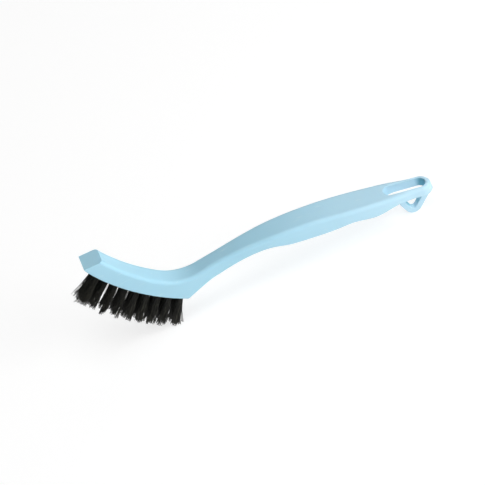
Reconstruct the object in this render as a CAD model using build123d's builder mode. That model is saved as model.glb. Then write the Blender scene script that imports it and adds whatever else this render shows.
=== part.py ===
from build123d import *
import math
import os

# A narrow hand scrub brush: one moulded handle with a bowed head, tufts of nylon filament folded over
# flat wire anchors in blind holes, and a hanging slot and hook at the tail.
#
# Millimetres and degrees. X runs along the brush from the toe of the head to the tail, Y runs across it
# and Z points up from the surface that it rests on, as laid down: on the tips of the heel tufts and on
# the bottom of the hook. The origin lies on that surface, under the middle of the overall length.
# Distances called "at" run along X from the heel corner of the head towards the tail, and those called
# "from_end" run along X from the end of the tail towards the head.

# ---- Driving dimensions: head ----
face_chord = 65.9            # bristle face, straight across from heel corner to toe corner
face_tilt = 46.7             # slope of that chord against the floor
face_bow = 4.6               # how far the face bulges out from the chord
head_depth = 10.7            # bristle face to back
head_width = 13.2
toe_land = 3.4               # height of the short facet between the toe corner and the flat nose
toe_land_lean = 1.0          # how far the nose stands forward of the toe corner
heel_round = 1.6

# ---- Driving dimensions: handle, side view ----
handle_length = 152.3        # heel corner to the end of the tail
crown_at = 51.8              # highest point of the neck
crown_rise = 17.5            # height of that point above the heel corner
top_bend = 21.9              # past the crown, where its level meets the line of the straight top
tail_height = 16.5           # end of the straight top, above the floor
waist_radius = 24.8          # blend between the back of the head and the neck
neck_at = 22.4
neck_depth = 8.6
arch_from_end = 95.8         # the slimmest place under the neck
arch_depth = 7.65
palm_front_from_end = 88.4   # first swell on the underside, which starts with a soft step
palm_front_depth = 9.7
palm_from_end = 80.8
palm_depth = 10.6
palm_rear_from_end = 57.8
palm_rear_depth = 9.75
notch_from_end = 48.9        # shallow step between the two swells
notch_depth = 8.5
finger_from_end = 36.0       # second swell
finger_depth = 9.35
plate_from_end = 20.0        # from here to the end the tail is a flat plate
plate_depth = 6.0
heel_slope = 21.5            # the underside leaves the heel corner at this angle

# ---- Driving dimensions: handle, seen from above ----
neck_width = 11.8
forearm_from_end = 97.7
forearm_width = 16.4
grip_front_from_end = 70.7
grip_front_width = 18.2
grip_from_end = 49.7         # widest place
grip_width = 19.2
shoulder_from_end = 33.7
shoulder_width = 18.0
tail_neck_from_end = 23.7
tail_neck_width = 16.6
top_round = 2.2              # long edges of the back, neck and grip
under_round = 1.0            # long edges of the underside

# ---- Driving dimensions: hanging slot and hook ----
slot_length = 24.8
slot_width = 8.3
tail_rim = 2.4               # plate left on each side of the slot
slot_end_rim = 2.6           # plate left beyond the slot, at the end of the tail
slot_edge_round = 0.5
hook_width = 4.2
hook_thickness = 3.5
hook_bend = 3.4              # radius of the bend, on the hook's centre line
hook_tip_angle = 111.0       # the free arm points this way, up and towards the head
hook_root_angle = 45.0       # the other arm rises to the end of the tail
hook_root_from_end = 2.0     # where that arm ends, inside the plate
hook_root_bite = 2.0         # how far it runs into the plate
hook_gap = 3.0               # between the free tip and the plate above it
hook_tip_round = 1.2
hook_edge_round = 0.5

# ---- Driving dimensions: tufts and their anchors ----
tuft_columns = 9             # along the head
tuft_rows = 3                # across the head
strands_per_tuft = 16
strand_sides = 4
row_pitch = 3.9
hole_diameter = 2.7
hole_depth = 5.5             # along the hole, from the bristle face
heel_margin = 4.0            # heel corner to the first column, along the face
toe_margin = 8.6             # last column to the toe corner
heel_lean = 31.0             # lean of the first column away from straight down
toe_lean = 48.5              # lean of the last column
heel_trim = 19.1             # free length of the first column
toe_trim = 19.0              # free length of the last column
trim_ragged = 0.9            # the longest strands pass the shortest by this much
ragged_step = 5              # order in which the strands of a tuft get shorter
stand_cut = 0.5              # depth worn flat where the tips carry the brush
strand_radius = 0.2          # centre to corner of one strand
root_spread = 1.02           # outermost strand from the tuft's centre, at the hole
tip_spread_along = 2.9       # the same at the tips, along the head
tip_spread_across = 1.75     # the same at the tips, across the head
row_fan = 0.45               # how far each outer row's tips move outwards
anchor_thickness = 0.4       # flat wire
anchor_height = 1.5
anchor_bite = 0.3            # each end is driven this far into the wall of the hole
anchor_above_floor = 0.9     # thickness of the folded filaments under the wire
tuft_clearance = 0.05        # between the bound roots and the wall of the hole
root_stand = 0.3             # the bound roots stand this far out of the hole
hole_lead = 1.0              # start of each drilled hole, in front of the face
strand_embed = 0.6           # length of each strand inside the bound roots
golden_turn = 137.508        # angle between one strand and the next

os.makedirs("parts", exist_ok=True)

# ---- Head geometry, measured from the heel corner ----
face_radius = ((face_chord / 2) ** 2 + face_bow**2) / (2 * face_bow)
face_half_angle = math.degrees(math.asin(face_chord / 2 / face_radius))
face_length = math.radians(2 * face_half_angle) * face_radius
back_radius = face_radius - head_depth
column_pitch = (face_length - heel_margin - toe_margin) / (tuft_columns - 1)


def lean_vector(lean):
    """Direction that leans by an angle from straight down, towards the toe, in side view."""
    return Vector(-math.sin(math.radians(lean)), 0, -math.cos(math.radians(lean)))


def face_lean(along):
    """Lean of the outward normal of the bristle face, at a distance from the heel corner."""
    return face_tilt - face_half_angle + math.degrees(along / face_radius)


def face_offset(along):
    """Step from the heel corner to the point of the bristle face at a distance from that corner."""
    return (lean_vector(face_lean(along)) - lean_vector(face_lean(0))) * face_radius


# ---- Tuft layout, measured from the heel corner ----
def column_along(column):
    return heel_margin + column * column_pitch


def column_lean(column):
    return heel_lean + (toe_lean - heel_lean) * column / (tuft_columns - 1)


def column_trim(column):
    return heel_trim + (toe_trim - heel_trim) * column / (tuft_columns - 1)


def rows_from_middle(row):
    return row - (tuft_rows - 1) / 2


def strand_share(strand):
    """Place of a strand in its tuft: shares of the spread across and along the head."""
    from_middle = math.sqrt((strand + 0.5) / strands_per_tuft)
    turn = math.radians(strand * golden_turn)
    return from_middle * math.cos(turn), from_middle * math.sin(turn)


def strand_tip_offset(column, row, strand):
    """Step from the heel corner to the tip of one strand, before the tips are worn flat."""
    across, along = strand_share(strand)
    shortened = trim_ragged * (strand * ragged_step % strands_per_tuft) / strands_per_tuft
    reach = lean_vector(column_lean(column)) * (column_trim(column) - shortened)
    towards_heel = -lean_vector(face_lean(column_along(column)) + 90)
    sideways = rows_from_middle(row) * (row_pitch + row_fan) + across * tip_spread_across
    spread = towards_heel * (along * tip_spread_along) + Vector(0, sideways, 0)
    return face_offset(column_along(column)) + reach + spread


# The heel tufts carry the brush, so they set the height of the whole handle: their lowest strand ends
# one stand_cut below the floor and is worn flat there. The length runs from the toe tufts to the tail.
all_strands = range(strands_per_tuft)
lowest_tip = min(strand_tip_offset(0, 0, strand).Z for strand in all_strands)
foremost_tip = min(strand_tip_offset(tuft_columns - 1, 0, strand).X for strand in all_strands)
heel = Vector(-(foremost_tip + handle_length) / 2, 0, -lowest_tip - stand_cut)
face_centre = heel - lean_vector(face_lean(0)) * face_radius
heel_x = heel.X
tail_x = heel_x + handle_length


def face_point(along):
    """Point on the bristle face, in the middle of the head, at a distance from the heel corner."""
    return heel + face_offset(along)


toe = face_point(face_length)
nose_z = toe.Z + toe_land
nose_front_x = toe.X - toe_land_lean
nose_back_lean = math.degrees(math.acos((face_centre.Z - nose_z) / back_radius))
nose_back = face_centre + lean_vector(nose_back_lean) * back_radius

# ---- Top of the neck and grip: an arc over the crown, and its tangent down to the tail ----
crown = Vector(heel_x + crown_at, 0, heel.Z + crown_rise)
tail_slope = math.degrees(math.atan2(crown.Z - tail_height, handle_length - crown_at - top_bend))
crown_radius = top_bend / math.tan(math.radians(tail_slope / 2))
crown_centre = crown - Vector(0, 0, crown_radius)
straight_x = crown.X + crown_radius * math.sin(math.radians(tail_slope))
straight_z = crown.Z - crown_radius * (1 - math.cos(math.radians(tail_slope)))


def top_z(x):
    """Height of the neck's and grip's top line."""
    if x < straight_x:
        return crown_centre.Z + math.sqrt(crown_radius**2 - (x - crown.X) ** 2)
    return straight_z - (x - straight_x) * math.tan(math.radians(tail_slope))


def under_point(x, depth):
    """Point of the underside in side view, one depth below the top line."""
    return (x, top_z(x) - depth)


# The back of the head and the neck's arc cross at the waist, in front of the crown.
centre_span = crown_centre - face_centre
waist_along = (back_radius**2 - crown_radius**2 + centre_span.length**2) / (2 * centre_span.length)
waist_aside = math.sqrt(back_radius**2 - waist_along**2)
span_direction = centre_span.normalized()
waist_foot = face_centre + span_direction * waist_along
waist = waist_foot + Vector(span_direction.Z, 0, -span_direction.X) * waist_aside
waist_lean = math.degrees(math.atan2(face_centre.X - waist.X, face_centre.Z - waist.Z))
head_mid = face_centre + lean_vector((nose_back_lean + waist_lean) / 2) * back_radius

# ---- Tail, slot and hook ----
tail_radius = slot_width / 2 + tail_rim
tail_turn_x = tail_x - tail_radius
slot_middle_x = tail_x - slot_end_rim - slot_length / 2
hook_half_angle = (hook_tip_angle - hook_root_angle) / 2
hook_bisector = math.radians((hook_tip_angle + hook_root_angle) / 2)
hook_corner_reach = hook_bend / math.sin(math.radians(hook_half_angle))
hook_root_x = tail_x - hook_root_from_end
hook_root_z = tail_height - plate_depth + hook_root_bite
hook_corner_z = hook_thickness / 2 + hook_bend - hook_corner_reach * math.sin(hook_bisector)
hook_corner_x = hook_root_x - (hook_root_z - hook_corner_z) / math.tan(math.radians(hook_root_angle))
hook_bend_x = hook_corner_x + hook_corner_reach * math.cos(hook_bisector)
hook_tip_z = top_z(hook_bend_x) - plate_depth - hook_gap
hook_tip_x = hook_corner_x + (hook_tip_z - hook_corner_z) / math.tan(math.radians(hook_tip_angle))


# ---- Places of the holes ----
def hole_plane(column, row, out=0.0):
    """Plane across a hole's axis, a distance out of the bristle face, facing out of the hole."""
    axis = lean_vector(column_lean(column))
    root = face_point(column_along(column)) + Vector(0, rows_from_middle(row) * row_pitch, 0)
    return Plane(origin=root + axis * out, x_dir=(0, 1, 0), z_dir=axis)


hole_places = [(column, row) for column in range(tuft_columns) for row in range(tuft_rows)]
anchor_out = anchor_above_floor + anchor_height / 2 - hole_depth
anchor_length = hole_diameter + 2 * anchor_bite
anchor_planes = [hole_plane(column, row, anchor_out) for column, row in hole_places]


def is_on_back(edge):
    """Whether an edge lies on the back of the head or on top of the neck and grip."""
    middle = edge.position_at(0.5)
    if middle.X < waist.X:
        return (Vector(middle.X, 0, middle.Z) - face_centre).length < face_radius - head_depth / 2
    return middle.Z > top_z(middle.X) - plate_depth / 2


plate_plane = Plane(
    origin=(slot_middle_x, 0, top_z(slot_middle_x)),
    x_dir=(math.cos(math.radians(tail_slope)), 0, -math.sin(math.radians(tail_slope))),
    z_dir=(math.sin(math.radians(tail_slope)), 0, math.cos(math.radians(tail_slope))),
)

# ---- Hook under the tail, before it joins the handle ----
with BuildPart() as hook:
    with BuildSketch(Plane.XZ.offset(-hook_width / 2)) as hook_profile:
        with BuildLine():
            FilletPolyline(
                (hook_tip_x, hook_tip_z),
                (hook_corner_x, hook_corner_z),
                (hook_root_x, hook_root_z),
                radius=hook_bend,
            )
        trace(line_width=hook_thickness)
        fillet(hook_profile.vertices().sort_by_distance((hook_tip_x, hook_tip_z))[:2], hook_tip_round)
    extrude(amount=hook_width)
    fillet(hook.edges().filter_by(Axis.Y, reverse=True), hook_edge_round)

# ---- Handle: head, neck, grip, tail plate and hook in one moulding ----
with BuildPart() as handle:
    with BuildSketch(Plane.XZ.offset(-grip_width)) as side_view:
        with BuildLine():
            face = ThreePointArc(
                (heel.X, heel.Z),
                (face_point(face_length / 2).X, face_point(face_length / 2).Z),
                (toe.X, toe.Z),
            )
            Line(face @ 1, (nose_front_x, nose_z))
            Line((nose_front_x, nose_z), (nose_back.X, nose_z))
            back = ThreePointArc((nose_back.X, nose_z), (head_mid.X, head_mid.Z), (waist.X, waist.Z))
            neck = ThreePointArc(back @ 1, (crown.X, crown.Z), (straight_x, straight_z))
            grip_top = Line(neck @ 1, (tail_x, top_z(tail_x)))
            tail_end = Line(grip_top @ 1, (tail_x, top_z(tail_x) - plate_depth))
            plate_under = Line(tail_end @ 1, under_point(tail_x - plate_from_end, plate_depth))
            Spline(
                [
                    plate_under @ 1,
                    under_point(tail_x - finger_from_end, finger_depth),
                    under_point(tail_x - notch_from_end, notch_depth),
                    under_point(tail_x - palm_rear_from_end, palm_rear_depth),
                    under_point(tail_x - palm_from_end, palm_depth),
                    under_point(tail_x - palm_front_from_end, palm_front_depth),
                    under_point(tail_x - arch_from_end, arch_depth),
                    under_point(heel_x + neck_at, neck_depth),
                    (heel.X, heel.Z),
                ],
                tangents=[
                    plate_under % 1,
                    (-math.cos(math.radians(heel_slope)), -math.sin(math.radians(heel_slope))),
                ],
            )
        make_face()
        fillet(side_view.vertices().sort_by_distance((waist.X, waist.Z))[0], waist_radius)
        fillet(side_view.vertices().sort_by_distance((heel.X, heel.Z))[0], heel_round)
    extrude(amount=2 * grip_width)

    with BuildSketch(Plane.XY) as plan_view:
        with BuildLine() as half_outline:
            front_x = nose_front_x - head_depth
            start = Line((front_x, 0), (front_x, head_width / 2))
            side = Line(start @ 1, (heel_x, head_width / 2))
            flank = Spline(
                [
                    side @ 1,
                    (heel_x + neck_at, neck_width / 2),
                    (tail_x - forearm_from_end, forearm_width / 2),
                    (tail_x - grip_front_from_end, grip_front_width / 2),
                    (tail_x - grip_from_end, grip_width / 2),
                    (tail_x - shoulder_from_end, shoulder_width / 2),
                    (tail_x - tail_neck_from_end, tail_neck_width / 2),
                    (tail_turn_x, tail_radius),
                ],
                tangents=[(1, 0), (1, 0)],
            )
            tip_turn = tail_radius * math.sqrt(0.5)
            ThreePointArc(flank @ 1, (tail_turn_x + tip_turn, tip_turn), (tail_x, 0))
            mirror(about=Plane.XZ)
        make_face()
    extrude(amount=nose_z + head_depth, mode=Mode.INTERSECT)

    # Round the long edges, first of the back, then of the underside and the bristle face. They are the
    # curved edges that keep to one side of the handle.
    for on_back, radius in ((True, top_round), (False, under_round)):
        rim = handle.edges().filter_by(GeomType.LINE, reverse=True)
        rim = rim.filter_by(lambda edge: abs(edge.center().Y) > under_round)
        fillet(rim.filter_by(lambda edge: is_on_back(edge) == on_back), radius)

    with BuildSketch(plate_plane) as slot_profile:
        SlotOverall(slot_length, slot_width)
    extrude(amount=2 * plate_depth, both=True, mode=Mode.SUBTRACT)
    fillet(handle.edges(Select.NEW), slot_edge_round)

    add(hook.part)
    with Locations([hole_plane(column, row, hole_lead) for column, row in hole_places]):
        Hole(radius=hole_diameter / 2, depth=hole_depth + hole_lead)
    with Locations(anchor_planes):
        Box(anchor_thickness, anchor_length, anchor_height, mode=Mode.SUBTRACT)
handle.part.label = "handle"
export_step(handle.part, "parts/handle.step")

# ---- Tufts: filaments bound at the root and fanned to the trimmed tips ----
for column, row in hole_places:
    name = f"tuft_row{row + 1}_{column + 1:02d}"
    floor_plane = hole_plane(column, row, -hole_depth)
    with BuildPart() as tuft:
        with BuildSketch(floor_plane) as bound_roots:
            Circle(hole_diameter / 2 - tuft_clearance)
        extrude(amount=hole_depth + root_stand)
        with Locations(hole_plane(column, row, anchor_out)):
            Box(anchor_thickness, anchor_length, anchor_height, mode=Mode.SUBTRACT)
        strands = []
        for strand in all_strands:
            across, along = strand_share(strand)
            foot_plane = hole_plane(column, row, root_stand - strand_embed)
            foot = foot_plane.from_local_coords((across * root_spread, along * root_spread))
            tip = heel + strand_tip_offset(column, row, strand)
            for end in (foot, tip):
                with BuildSketch(Plane(end, x_dir=foot_plane.x_dir, z_dir=foot_plane.z_dir)):
                    RegularPolygon(radius=strand_radius, side_count=strand_sides)
            strands.append(loft(ruled=True, mode=Mode.PRIVATE))
        add(strands)
        split(bisect_by=Plane.XY, keep=Keep.TOP)
    tuft.part.label = name
    export_step(tuft.part, f"parts/{name}.step")

# ---- Anchors: flat wires driven across the bottoms of the holes ----
with BuildPart() as anchors:
    with Locations(anchor_planes):
        Box(anchor_thickness, anchor_length, anchor_height)
anchors.part.label = "tuft_anchors"
export_step(anchors.part, "parts/tuft_anchors.step")
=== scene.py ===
import math
import random

import bpy
from mathutils import Matrix, Vector


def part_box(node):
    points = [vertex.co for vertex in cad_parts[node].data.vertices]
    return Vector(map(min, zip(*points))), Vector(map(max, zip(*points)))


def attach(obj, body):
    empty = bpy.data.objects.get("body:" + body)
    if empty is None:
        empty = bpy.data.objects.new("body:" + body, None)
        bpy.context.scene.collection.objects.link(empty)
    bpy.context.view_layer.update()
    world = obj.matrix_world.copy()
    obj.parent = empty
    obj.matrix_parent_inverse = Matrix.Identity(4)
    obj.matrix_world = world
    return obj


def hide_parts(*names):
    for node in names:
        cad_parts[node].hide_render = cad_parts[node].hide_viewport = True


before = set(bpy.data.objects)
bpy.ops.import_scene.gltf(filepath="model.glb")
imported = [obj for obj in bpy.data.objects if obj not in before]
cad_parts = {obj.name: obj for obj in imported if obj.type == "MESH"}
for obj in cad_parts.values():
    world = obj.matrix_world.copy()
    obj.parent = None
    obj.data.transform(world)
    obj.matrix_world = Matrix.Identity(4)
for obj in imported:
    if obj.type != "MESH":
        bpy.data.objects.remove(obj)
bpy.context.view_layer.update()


# ---- Handle -------------------------------------------------------------------------------------------
# One injection moulding in pale blue polypropylene: bowed head, neck, grip, tail plate with its hanging
# slot, and hook. The mould is lightly spark-eroded, so the skin is satin, with a soft, cloudy colour. The
# hand has rubbed the grip smoother, fine scuffs run along the brush, and the colour is paler towards the
# tail.
class Signal:
    """A shader socket that can stand in a sum, difference, product or abs(), each of which adds a node."""

    def __init__(self, material, socket=None):
        self.material = material
        self.socket = socket

    def node(self, kind, settings, inputs, output=0):
        """Add a node: its type, its settings, then the values or links of its sockets."""
        tree = self.material.node_tree
        made = tree.nodes.new("ShaderNode" + kind)
        for name, value in settings.items():
            setattr(made, name, value)
        for name, value in inputs.items():
            if isinstance(value, Signal):
                tree.links.new(value.socket, made.inputs[name])
            else:
                made.inputs[name].default_value = value
        return Signal(self.material, made.outputs[output]) if made.outputs else None

    def maths(self, operation, first, second):
        return self.node("Math", {"operation": operation}, {0: first, 1: second})

    def __add__(self, other):
        return self.maths("ADD", self, other)

    def __radd__(self, other):
        return self.maths("ADD", other, self)

    def __sub__(self, other):
        return self.maths("SUBTRACT", self, other)

    def __rsub__(self, other):
        return self.maths("SUBTRACT", other, self)

    def __mul__(self, other):
        return self.maths("MULTIPLY", self, other)

    def __rmul__(self, other):
        return self.maths("MULTIPLY", other, self)

    def __abs__(self):
        return self.node("Math", {"operation": "ABSOLUTE"}, {0: self})


def new_finish(name):
    """An empty material, as the signal from which its nodes are added."""
    material = bpy.data.materials.new(name)
    material.use_nodes = True
    material.node_tree.nodes.clear()
    return Signal(material)


def dress(piece, finish):
    """Give a piece one material all over."""
    piece.data.materials.clear()
    piece.data.materials.append(finish.material)


def mottle(finish, place, scale, detail):
    """Smooth noise between 0 and 1, with about this many spots to the metre."""
    return finish.node("TexNoise", {}, {"Vector": place, "Scale": scale, "Detail": detail})


def ramp(reading, none_at, whole_at, course="LINEAR"):
    """A reading as a share: 0 at one value and beyond, 1 at the other and beyond."""
    return reading.node(
        "MapRange",
        {"interpolation_type": course},
        {"Value": reading, "From Min": none_at, "From Max": whole_at},
    )


def blend(share, first, second):
    """A colour that goes from the first to the second as the share goes from 0 to 1."""
    return share.node("Mix", {"data_type": "RGBA"}, {0: share, 6: first, 7: second}, 2)


plastic = new_finish("handle_plastic")
place = plastic.node("TexCoord", {}, {}, "Object")
facing = plastic.node("NewGeometry", {}, {}, "Normal")

# The pigment is a little cloudy, and paler towards the tail.
pigment_light = (0.44, 0.73, 0.87, 1)
pigment_deep = (0.385, 0.68, 0.83, 1)
pigment_towards_tail = (0.51, 0.74, 0.87, 1)
clouds_per_metre = 24.0     # about 4 cm across
paling_starts_x = 0.0
paling_ends_x = 0.1
cloud = mottle(plastic, place, clouds_per_metre, 2.0)
along_brush = plastic.node("SeparateXYZ", {}, {"Vector": place}, "X")
towards_tail_share = ramp(along_brush, paling_starts_x, paling_ends_x)
cloudy_paling_pigment = blend(towards_tail_share, blend(cloud, pigment_light, pigment_deep), pigment_towards_tail)

# The walls that face each other at the end of the slot and inside the hook lie in the shade: painted shade
# gives them a deeper colour.
painted_shade_colour = (0.17, 0.48, 0.62, 1)
slot_end_middle = (0.0982, 0.0, 0.0)
slot_end_near = 0.0036      # from its middle, seen from above: all of the shade up to here
slot_end_far = 0.0048       # and none from here
hook_eye = (0.0905, 0.0, 0.0092)
hook_eye_near = 0.0038      # the same, seen from the side
hook_eye_far = 0.0050
plate_slope = math.radians(11.3)
plate_underside = 0.0307    # height square to the tail plate, below which the slot's shade ends
plate_inside = 0.0313
seen_from_above = (1.0, 1.0, 0.0)
seen_from_side = (1.0, 0.0, 1.0)
square_to_plate = (math.sin(plate_slope), 0.0, math.cos(plate_slope))
in_plan = plastic.node("VectorMath", {"operation": "MULTIPLY"}, {0: place, 1: seen_from_above})
in_side_view = plastic.node("VectorMath", {"operation": "MULTIPLY"}, {0: place, 1: seen_from_side})
from_slot_end = plastic.node(
    "VectorMath", {"operation": "DISTANCE"}, {0: in_plan, 1: slot_end_middle}, "Value"
)
from_hook_eye = plastic.node(
    "VectorMath", {"operation": "DISTANCE"}, {0: in_side_view, 1: hook_eye}, "Value"
)
height_in_plate = plastic.node(
    "VectorMath", {"operation": "DOT_PRODUCT"}, {0: place, 1: square_to_plate}, "Value"
)
faces_up = plastic.node(
    "VectorMath", {"operation": "DOT_PRODUCT"}, {0: facing, 1: square_to_plate}, "Value"
)
faces_sideways = plastic.node("SeparateXYZ", {}, {"Vector": facing}, "Y")
# Where the painted shade goes: the slot's end wall under the plate, and the hook's inner walls.
slot_end_painted_shade = (
    ramp(from_slot_end, slot_end_far, slot_end_near)
    * ramp(height_in_plate, plate_underside, plate_inside)
    * (1.0 - abs(faces_up))
)
hook_painted_shade = ramp(from_hook_eye, hook_eye_far, hook_eye_near) * (1.0 - abs(faces_sideways))
painted_shade = plastic.node("Math", {"operation": "MAXIMUM"}, {0: slot_end_painted_shade, 1: hook_painted_shade})

# Hairline scuffs, a few millimetres long, lie mostly along the brush and show paler.
scuffed = (0.55, 0.78, 0.88, 1)
scuff_paleness = 0.5
scuffs_per_metre = 700.0
scuff_stretch = (0.12, 1.0, 1.0)
scuff_starts = 0.66         # of the noise
scuff_whole = 0.72
combed = plastic.node("Mapping", {}, {"Vector": place, "Scale": scuff_stretch})
scuff = ramp(mottle(plastic, combed, scuffs_per_metre, 3.0), scuff_starts, scuff_whole)
# The paler scuffs are real wear; the deeper colour mixed in on the slot and hook walls is painted shade.
worn_and_painted_shade_colour = blend(scuff_paleness * scuff, blend(painted_shade, cloudy_paling_pigment, painted_shade_colour), scuffed)

# The skin has the mould's fine grain and slow ripples, less of the grain where the hand rubs it.
grains_per_metre = 2400.0   # about 0.4 mm across
ripples_per_metre = 90.0
grip_middle_x = 0.035
rubbed_all_within = 0.0165  # of the grip's middle, along the brush
rubbed_within = 0.055
grain_rubbed_off = 0.5
ripple_height = 3.0         # both against the height of the grain
scuff_height = 0.5
relief_height = 0.0002
relief_strength = 0.16
grain = mottle(plastic, place, grains_per_metre, 2.0)
ripple = mottle(plastic, place, ripples_per_metre, 1.0)
rubbed = ramp(abs(along_brush - grip_middle_x), rubbed_within, rubbed_all_within, "SMOOTHSTEP")
skin_height = grain * (1.0 - grain_rubbed_off * rubbed) + ripple_height * ripple - scuff_height * scuff
relief = plastic.node(
    "Bump", {}, {"Strength": relief_strength, "Distance": relief_height, "Height": skin_height}
)

satin = 0.44                # roughness of the bare skin, and what the rest adds to it or takes away
grain_dulls = 0.10
cloud_dulls = 0.06
scuff_dulls = 0.10
rub_polishes = 0.07
skin_roughness = (
    satin + grain_dulls * grain + cloud_dulls * cloud + scuff_dulls * scuff - rub_polishes * rubbed
)
skin = plastic.node(
    "BsdfPrincipled",
    {},
    {
        "Base Color": worn_and_painted_shade_colour,
        "Roughness": skin_roughness,
        "IOR": 1.49,
        "Specular IOR Level": 0.35,
        "Subsurface Weight": 0.12,
        "Subsurface Radius": (0.6, 1.0, 1.2),
        "Subsurface Scale": 0.0012,
        "Normal": relief,
    },
)
plastic.node("OutputMaterial", {}, {"Surface": skin})
dress(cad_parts["handle"], plastic)

# ---- Tuft anchors -------------------------------------------------------------------------------------
# Short lengths of flat galvanised wire, one driven across the bottom of each hole over the fold of its
# filaments. They are sealed in the head.
zinc_bright = (0.62, 0.63, 0.62, 1)
zinc_dull = (0.58, 0.59, 0.58, 1)
spangles_per_metre = 1500.0
zinc_polish = 0.3             # roughness where the noise is 0
spangle_dulls = 0.2
wire = new_finish("galvanised_wire")
spangle = mottle(wire, wire.node("TexCoord", {}, {}, "Object"), spangles_per_metre, 2.0)
zinc = wire.node(
    "BsdfPrincipled",
    {},
    {
        "Base Color": blend(spangle, zinc_bright, zinc_dull),
        "Metallic": 1.0,
        "Roughness": zinc_polish + spangle_dulls * spangle,
    },
)
wire.node("OutputMaterial", {}, {"Surface": zinc})
dress(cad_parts["tuft_anchors"], wire)

# ---- Tufts --------------------------------------------------------------------------------------------
# Black nylon filaments, each folded in half over the flat wire at the bottom of a blind hole, so that it
# shows as two tips. Three rows of nine holes. The bundles leave their holes tightly packed and open towards
# the trimmed tips, where they part into small locks. A few filaments at the ends of the head have strayed.
rows = 3
columns = 9
row_pitch = 0.0039
hole_depth = 0.0055
bound_radius = 0.0013         # of the bundle in its hole
heel_lean = math.radians(31.0)
toe_lean = math.radians(48.5)
heel_trim = 0.0195            # free length
toe_trim = 0.0196
filaments = 44                # in each tuft, before they are folded
filament_radius = 0.00012
filament_sides = 4
wire_gap = 0.00033            # from the wire's middle to the nearest filament beside it
wire_bottom = 0.0009          # height of the wire's lower edge above the floor of the hole
fold_floor = 0.00014          # height of the lowest fold above that floor
fold_angles = (45, 90, 135)   # places round the fold where a filament bends
fold_squeeze_along = 0.88     # the bundle beside the wire, against the bundle at the mouth of the hole
fold_squeeze_across = 0.95
free_shares = (1.0, 0.8, 0.58, 0.32, 0.0)     # places along the free length where it can bend
opening_power = 1.6           # the bundle opens slowly at first, then faster
tip_fan_along = 0.0023        # how much further out the outermost tips stand than their roots
tip_fan_across = 0.0010
row_fan = 0.00045             # how far the outer rows' tips move outwards
tip_dome = 0.0005             # outer tips end this much shorter
tip_ragged = 0.0022           # and any tip up to this much
locks = 6                     # small groups in which the tips of a tuft gather
lock_pull = 0.30              # share of the way that a tip goes towards its lock
lock_ragged = 0.0006          # how unevenly long the locks are
tip_scatter_along = 0.00022   # how unevenly the tips stand
tip_scatter_across = 0.0002
filament_bow = 0.00018        # how far a filament bows out halfway
tuft_swing = math.radians(0.8)                # how unevenly the tufts stand
toe_stray_swing = 0.0022      # how far the tips of strayed filaments stand out at the toe
toe_stray_from = 0.5          # only from this far out in the bundle
toe_stray_share = 0.4         # and only this share of them
heel_stray_swing = 0.0007
heel_stray_from = 0.8
bent_aside = {                # tufts pushed out of line in use: row and column, then degrees to the toe
    (0, 8): 1.0, (2, 7): -1.5, (0, 7): 1.4, (2, 6): -2.2, (1, 6): -1.4, (0, 6): 1.0, (2, 5): -1.6,
    (0, 5): 0.9, (2, 4): -1.5, (0, 4): 0.3, (2, 3): -0.8, (2, 1): -0.6, (0, 1): 0.4, (2, 0): 0.6,
}
filaments_lost = {            # and those that have lost filaments: the share of the bundle that is left
    (0, 7): (-1.0, 0.30), (2, 6): (-0.30, 1.0), (0, 6): (-1.0, 0.48), (2, 5): (-0.45, 1.0),
    (0, 5): (-1.0, 0.55), (2, 4): (-0.55, 1.0),
}
golden_turn = math.radians(137.508)           # from one filament to the next, which spaces them evenly

# The nylon is near black; the paler streaks along the filaments are painted sheen.
nylon_black = (0.007, 0.007, 0.005, 1)
nylon_painted_sheen = (0.058, 0.058, 0.042, 1)
streaks_per_metre = 1600.0    # counted across the filaments
streak_stretch = (1.0, 1.0, 10.0)
sheen_starts = 0.48            # of the noise
sheen_whole = 0.72
nylon_sheen = 0.38            # roughness where the noise is 0
streak_dulls = 0.2
nylon = new_finish("black_nylon")
filament_course = nylon.node(
    "Mapping",
    {"vector_type": "TEXTURE"},
    {
        "Vector": nylon.node("TexCoord", {}, {}, "Object"),
        "Rotation": (0.0, (heel_lean + toe_lean) / 2, 0.0),
        "Scale": streak_stretch,
    },
)
streak = mottle(nylon, filament_course, streaks_per_metre, 1.0)
thread = nylon.node(
    "BsdfPrincipled",
    {},
    {
        "Base Color": blend(ramp(streak, sheen_starts, sheen_whole), nylon_black, nylon_painted_sheen),
        "Roughness": nylon_sheen + streak_dulls * streak,
        "IOR": 1.53,
    },
)
nylon.node("OutputMaterial", {}, {"Surface": thread})

# One filament, standing on the origin and one unit long, with a ring at every place where it can bend:
# down one leg, round the fold, and up the other.
rings = 2 * (len(free_shares) + 1) + len(fold_angles)
bpy.ops.object.select_all(action="DESELECT")
bpy.ops.mesh.primitive_cylinder_add(
    vertices=filament_sides, radius=filament_radius, depth=1.0, location=(0, 0, 0.5)
)
filament = bpy.context.object
bpy.ops.object.transform_apply()
bpy.ops.object.mode_set(mode="EDIT")
for ring in range(1, rings - 1):
    bpy.ops.mesh.select_all(action="SELECT")
    bpy.ops.mesh.bisect(plane_co=(0, 0, ring / (rings - 1)), plane_no=(0, 0, 1))
bpy.ops.object.mode_set(mode="OBJECT")
filament_points = [
    (round(vertex.co.z * (rings - 1)), vertex.co.x, vertex.co.y) for vertex in filament.data.vertices
]
filament_faces = [tuple(face.vertices) for face in filament.data.polygons]
bpy.data.objects.remove(filament)

chance = random.Random(10)


def tip_locks():
    """Where the tips of a tuft gather, as shares of its radius, and how much longer each lock is."""
    places = []
    for _ in range(locks):
        lock_turn = chance.uniform(0, 2 * math.pi)
        lock_reach = math.sqrt(chance.random())
        longer = chance.gauss(0, lock_ragged)
        places.append((lock_reach * math.cos(lock_turn), lock_reach * math.sin(lock_turn), longer))
    return places


def free_leg(root, axis, length, spread, bow):
    """The course of one leg, from its tip up to the mouth of its hole."""
    return [
        root + axis * (length * share) + spread * share**opening_power + bow * math.sin(math.pi * share)
        for share in free_shares
    ]


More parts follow.
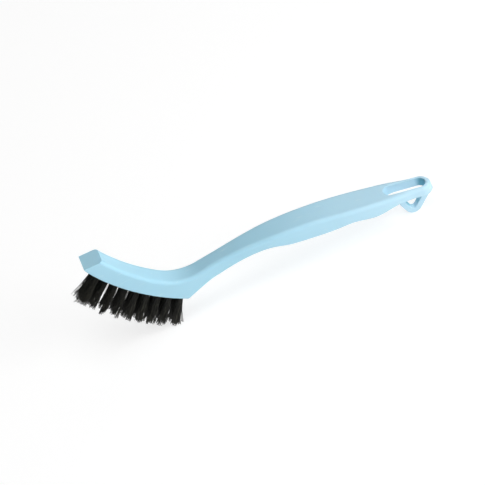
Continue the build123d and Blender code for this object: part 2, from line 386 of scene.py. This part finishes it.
def fold_over_wire(one_side, other_side, axis, share_side):
    """The course round the fold, between the two legs. The outermost filaments fold deepest."""
    middle = (one_side + other_side) / 2
    half = (one_side - other_side) / 2
    fold_height = fold_floor + (wire_bottom - 2 * fold_floor) * (1 - share_side)
    return [
        middle
        + half * math.cos(math.radians(angle))
        - axis * (wire_bottom - fold_height) * math.sin(math.radians(angle))
        for angle in fold_angles
    ]


def lay_filament(course, along):
    """The points of the filament, bent so that its middle follows the course."""
    frames = []
    for ring, middle in enumerate(course):
        before = course[max(ring - 1, 0)]
        after = course[min(ring + 1, rings - 1)]
        heading = (after - before).normalized()
        flat = along.cross(heading).normalized()
        frames.append((middle, flat, heading.cross(flat)))
    laid = []
    for ring, to_flat, to_edge in filament_points:
        middle, flat, edge = frames[ring]
        laid.append(middle + flat * to_flat + edge * to_edge)
    return laid


across = Vector((0, 1, 0))
packed = bound_radius - filament_radius
for row in range(rows):
    for column in range(columns):
        name = f"tuft_row{row + 1}_{column + 1:02d}"
        towards_toe = column / (columns - 1)
        lean = heel_lean + (toe_lean - heel_lean) * towards_toe
        trim = heel_trim + (toe_trim - heel_trim) * towards_toe
        axis = Vector((-math.sin(lean), 0, -math.cos(lean)))
        along = Vector((math.cos(lean), 0, -math.sin(lean)))
        from_middle = row - (rows - 1) / 2
        # The highest corner of the node's box is the rim of the disc on the floor of its hole.
        box_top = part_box(name)[1]
        hole_floor = Vector((box_top.x, from_middle * row_pitch, box_top.z))
        hole_floor -= Vector((math.cos(lean), 0, math.sin(lean))) * bound_radius
        mouth = hole_floor + axis * hole_depth
        pushed = math.radians(bent_aside.get((row, column), 0.0)) + chance.gauss(0, tuft_swing)
        swing = along * (-trim * math.sin(pushed)) + across * (
            from_middle * row_fan + trim * chance.gauss(0, tuft_swing / 2)
        )
        lock_places = tip_locks()
        left_from, left_to = filaments_lost.get((row, column), (-1.0, 1.0))
        points = []
        faces = []
        for index in range(filaments):
            reach = math.sqrt((index + 0.5) / filaments)
            turn = (index * golden_turn) % math.pi
            share_along = reach * math.cos(turn)
            share_side = reach * math.sin(turn)
            if not left_from <= share_along <= left_to:
                continue
            legs = []
            for side in (1, -1):
                share_across = side * share_side
                root = mouth + (along * share_along + across * share_across) * packed
                lock = min(
                    lock_places,
                    key=lambda spot: math.hypot(spot[0] - share_along, spot[1] - share_across),
                )
                tip_along = share_along + (lock[0] - share_along) * lock_pull
                tip_across = share_across + (lock[1] - share_across) * lock_pull
                length = trim - tip_dome * reach**2 - tip_ragged * chance.random() ** 2 + lock[2]
                outwards = tip_along * (packed + tip_fan_along) - share_along * packed
                sideways = tip_across * (packed + tip_fan_across) - share_across * packed
                spread = swing + along * (outwards + chance.gauss(0, tip_scatter_along))
                spread += across * (sideways + chance.gauss(0, tip_scatter_across))
                at_toe = column == columns - 1 and share_along < -toe_stray_from
                if at_toe and chance.random() < toe_stray_share:
                    spread -= along * toe_stray_swing * chance.uniform(0.3, 1.3)
                if column == 0 and share_along > heel_stray_from:
                    spread += along * heel_stray_swing * chance.uniform(0.6, 1.6)
                bow = (along * chance.gauss(0, 1) + across * chance.gauss(0, 1)) * filament_bow
                # Tips that would pass through the floor are cut to stand on it.
                tip_height = root.z + (axis * length + spread).z
                if tip_height < filament_radius:
                    length -= (filament_radius - tip_height) / math.cos(lean)
                leg = free_leg(root, axis, length, spread, bow)
                squeezed_along = share_along * packed * fold_squeeze_along
                squeezed_side = wire_gap + share_side * (packed - wire_gap) * fold_squeeze_across
                leg.append(
                    hole_floor + axis * wire_bottom + along * squeezed_along + across * side * squeezed_side
                )
                legs.append(leg)
            fold = fold_over_wire(legs[0][-1], legs[1][-1], axis, share_side)
            first = len(points)
            points += lay_filament(legs[0] + fold + legs[1][::-1], along)
            faces += [tuple(first + corner for corner in face) for face in filament_faces]
        mesh = bpy.data.meshes.new(name + "_filaments")
        mesh.from_pydata(points, [], faces)
        tuft = bpy.data.objects.new(name + "_filaments", mesh)
        bpy.context.collection.objects.link(tuft)
        dress(tuft, nylon)
        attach(tuft, "root")
        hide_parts(name)

# ---- Floor --------------------------------------------------------------------------------------------
# A plain sheet of pale paper, flat under the brush, for the white ground of the photograph. It glows a
# little, like a light table, so that the shadow stays faint.
floor_size = 8.0
bpy.ops.object.select_all(action="DESELECT")
bpy.ops.mesh.primitive_plane_add(size=floor_size, location=(0, 0, 0))
floor = bpy.context.object
floor.name = "floor"
paper_deep = (0.34, 0.34, 0.34, 1)
paper_light = (0.36, 0.36, 0.358, 1)
fibres_per_metre = 900.0
tooth_height = 0.0001
tooth_strength = 0.1
paper_roughness = 0.85        # where the noise is 0
fibres_dull = 0.1
paper_glow = 0.75
paper = new_finish("floor_paper")
fibres = mottle(paper, paper.node("TexCoord", {}, {}, "Object"), fibres_per_metre, 3.0)
tooth = paper.node(
    "Bump", {}, {"Strength": tooth_strength, "Distance": tooth_height, "Height": fibres}
)
sheet = paper.node(
    "BsdfPrincipled",
    {},
    {
        "Base Color": blend(fibres, paper_deep, paper_light),
        "Roughness": paper_roughness + fibres_dull * fibres,
        "Normal": tooth,
        "Specular IOR Level": 0.1,
        "Emission Color": (1, 1, 1, 1),
        "Emission Strength": paper_glow,
    },
)
paper.node("OutputMaterial", {}, {"Surface": sheet})
dress(floor, paper)

# ---- Light --------------------------------------------------------------------------------------------
# A broad soft key in front, on the tail's side, a softbox overhead and a weak one behind. The room is dark
# but for a pale strip round the horizon, which a low view has behind the brush.
strip_brightness = 0.80       # at the horizon
strip_fall = 5.0              # how fast it falls off with the sine of the height above it
world = bpy.data.worlds.new("studio")
bpy.context.scene.world = world
world.use_nodes = True
world.node_tree.nodes.clear()
room = Signal(world)
height = room.node(
    "SeparateXYZ", {}, {"Vector": room.node("TexCoord", {}, {}, "Generated")}, "Z"
)
strip = room.node(
    "Math", {"operation": "SUBTRACT", "use_clamp": True}, {0: strip_brightness, 1: strip_fall * height}
)
wall = room.node("Background", {}, {"Color": (1, 1, 1, 1), "Strength": strip})
room.node("OutputWorld", {}, {"Surface": wall})


def softbox(name, towards, distance, size, power):
    """A square area light, in a direction from the brush, that faces it."""
    lamp = bpy.data.lights.new(name, "AREA")
    lamp.size = size
    lamp.energy = power
    holder = bpy.data.objects.new(name, lamp)
    bpy.context.collection.objects.link(holder)
    holder.location = Vector(towards).normalized() * distance
    holder.rotation_euler = Vector(towards).to_track_quat("Z", "Y").to_euler()


softbox("key", towards=(0.9, -0.8, 0.6), distance=1.1, size=0.75, power=8.5)
softbox("overhead", towards=(0.1, -0.12, 1.0), distance=1.8, size=1.2, power=16.0)
softbox("rim", towards=(0.6, 0.8, 0.7), distance=1.8, size=1.2, power=4.0)

# ---- Camera -------------------------------------------------------------------------------------------
# A long lens 2.5 m away, square to the length of the brush and 40 degrees above it. It is rolled, so that
# the tail rises to the right as in the photograph.
image_side = 485
pixels_per_metre = 1770
camera_distance = 2.5
camera_rise = math.radians(40.0)
camera_roll = math.radians(24.5)
aim = Vector((-0.0072, 0, 0.0311))
backwards = Vector((0, -math.cos(camera_rise), math.sin(camera_rise)))
level_up = Vector((0, math.sin(camera_rise), math.cos(camera_rise)))
right = Vector((math.cos(camera_roll), 0, 0)) - level_up * math.sin(camera_roll)
up = Vector((math.sin(camera_roll), 0, 0)) + level_up * math.cos(camera_roll)
lens = bpy.data.cameras.new("camera")
lens.sensor_width = 36.0
lens.lens = pixels_per_metre * camera_distance * lens.sensor_width / image_side
lens.clip_end = 20.0
camera = bpy.data.objects.new("camera", lens)
bpy.context.collection.objects.link(camera)
turned = Matrix((right, up, backwards)).transposed().to_4x4()
camera.matrix_world = Matrix.Translation(aim + backwards * camera_distance) @ turned
bpy.context.scene.camera = camera
bpy.context.scene.view_settings.view_transform = "Standard"
